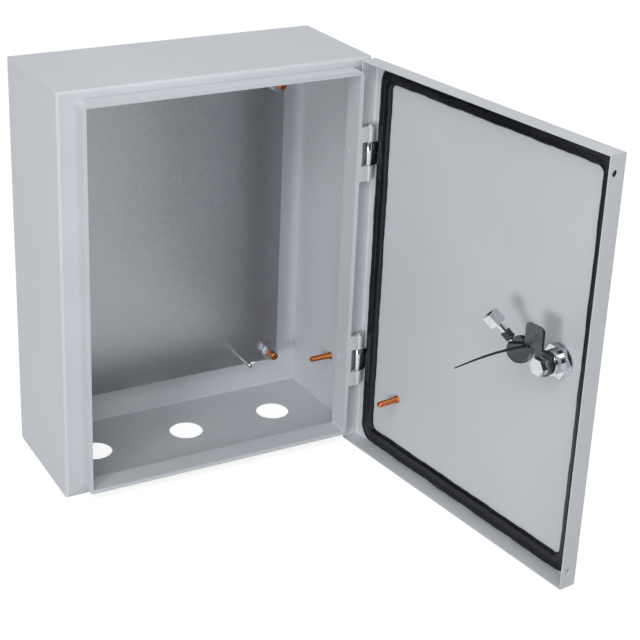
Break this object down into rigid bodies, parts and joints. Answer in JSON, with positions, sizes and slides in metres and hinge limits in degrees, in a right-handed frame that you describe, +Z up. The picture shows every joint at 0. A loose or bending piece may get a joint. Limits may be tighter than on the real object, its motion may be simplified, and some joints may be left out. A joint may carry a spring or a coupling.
{
  "type": "wall enclosure",
  "caption": "Sheet-steel wall enclosure with an open hinged door, folded rain lip, foam gasket, mounting plate, earth studs and a cam lock with its key tied on.",
  "frame": {"origin": "centre of the four wall holes, on the back sheet's outer face", "axes": "+Z up, the door opening at the front (-Y), the hinges on the right (+X)"},
  "size_m": [0.3502, 0.4434, 0.395],
  "materials": {
    "body_paint": "light grey powder coat, semi matt",
    "plate_zinc": "galvanised plate, dull",
    "zinc": "zinc plated",
    "bright_steel": "bright zinc",
    "dark_steel": "dark zinc plated steel",
    "copper": "copper plated steel",
    "chrome": "polished",
    "gasket_foam": "poured black foam, satin skin",
    "black_nylon": "black nylon"
  },
  "bodies": {
    "body": {"shell_wrap": "body_paint", "side_left": "body_paint", "side_right": "body_paint", "mounting_plate": "plate_zinc", "plate_spacers": "zinc", "plate_studs": "zinc", "plate_washers": "zinc", "plate_nuts": "zinc", "plate_earth_pin": "bright_steel", "wall_earth_stud": "copper", "lip_plugs": "body_paint", "hinge_bracket_upper": "body_paint", "hinge_bracket_lower": "body_paint", "hinge_pin_upper": "chrome", "hinge_pin_lower": "chrome"},
    "door": {"door_pan": "body_paint", "door_gasket": "gasket_foam", "door_earth_stud": "copper", "hinge_leaf_upper": "chrome", "hinge_leaf_lower": "chrome", "lock_housing": "chrome", "lock_seal": "gasket_foam", "lock_ring": "chrome", "lock_nut": "chrome"},
    "lock": {"lock_core": "chrome", "cam": "dark_steel", "cam_washer": "zinc", "cam_bolt": "bright_steel", "key": "chrome", "cable_tie": "black_nylon"}
  },
  "joints": [
    {"name": "door_hinge", "type": "hinge", "parent": "body", "child": "door", "pos_m": [0.1491, -0.1405, 0], "axis": [0, 0, 1], "range_deg": [-97, 18]},
    {"name": "lock_turn", "type": "hinge", "parent": "door", "child": "lock", "pos_m": [0.18891, -0.39666, 0], "axis": [0.9925, 0.1219, 0], "range_deg": [0, 90]}
  ]
}
